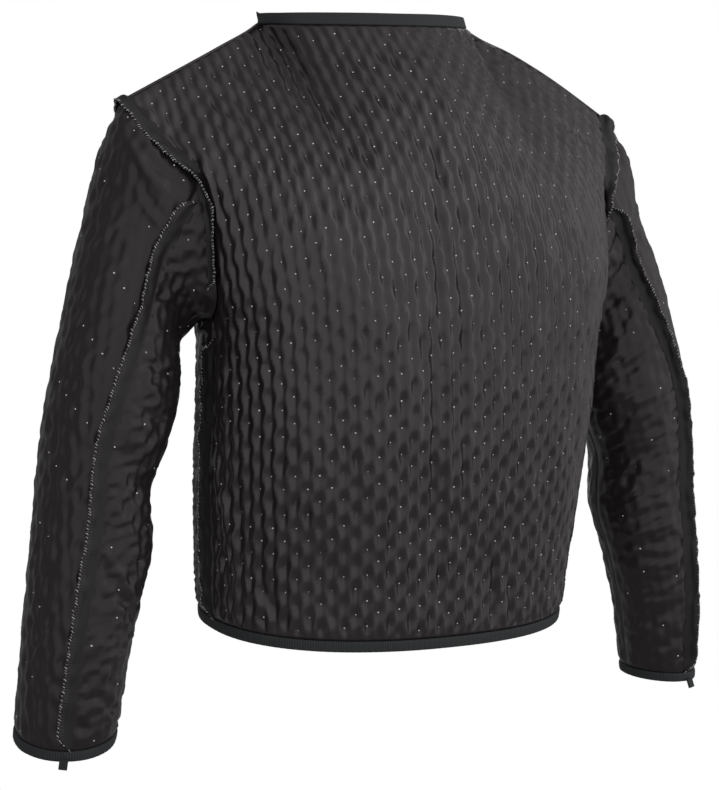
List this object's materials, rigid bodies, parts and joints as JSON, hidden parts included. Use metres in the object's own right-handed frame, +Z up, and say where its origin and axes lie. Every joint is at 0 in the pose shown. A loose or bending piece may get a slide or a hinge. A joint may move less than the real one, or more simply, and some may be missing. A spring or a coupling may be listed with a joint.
{
  "type": "quilted motorcycle jacket liner",
  "caption": "Removable quilted satin liner of a textile motorcycle jacket, collarless and long-sleeved, with bound edges and exposed overlocked seams, filled out with no wearer.",
  "frame": {"origin": "on the centre plane at the height of the neck points, between them, where a hanger or a neck form holds the liner", "axes": "+Z up, the front looks along -Y, +X is the wearer's left"},
  "size_m": [0.7859, 0.2916, 0.7086],
  "materials": {
    "quilted_satin": "soft-sheen charcoal satin, point-tacked to wadding",
    "binding_tape": "matt finely ribbed dark tape",
    "overlocked_seam": "matt raw edge covered with pale overlock thread"
  },
  "bodies": {
    "root": {"back_panel": "quilted_satin", "front_left": "quilted_satin", "front_right": "quilted_satin", "sleeve_left_outer": "quilted_satin", "sleeve_left_under": "quilted_satin", "sleeve_right_outer": "quilted_satin", "sleeve_right_under": "quilted_satin", "neck_binding": "binding_tape", "hem_binding": "binding_tape", "front_binding_left": "binding_tape", "front_binding_right": "binding_tape", "cuff_binding_left": "binding_tape", "cuff_binding_right": "binding_tape", "armhole_seam_left": "overlocked_seam", "armhole_seam_right": "overlocked_seam", "side_seam_left": "overlocked_seam", "side_seam_right": "overlocked_seam", "sleeve_seam_left": "overlocked_seam", "sleeve_seam_right": "overlocked_seam", "cuff_tab_left": "binding_tape", "cuff_tab_right": "binding_tape"}
  },
  "joints": []
}
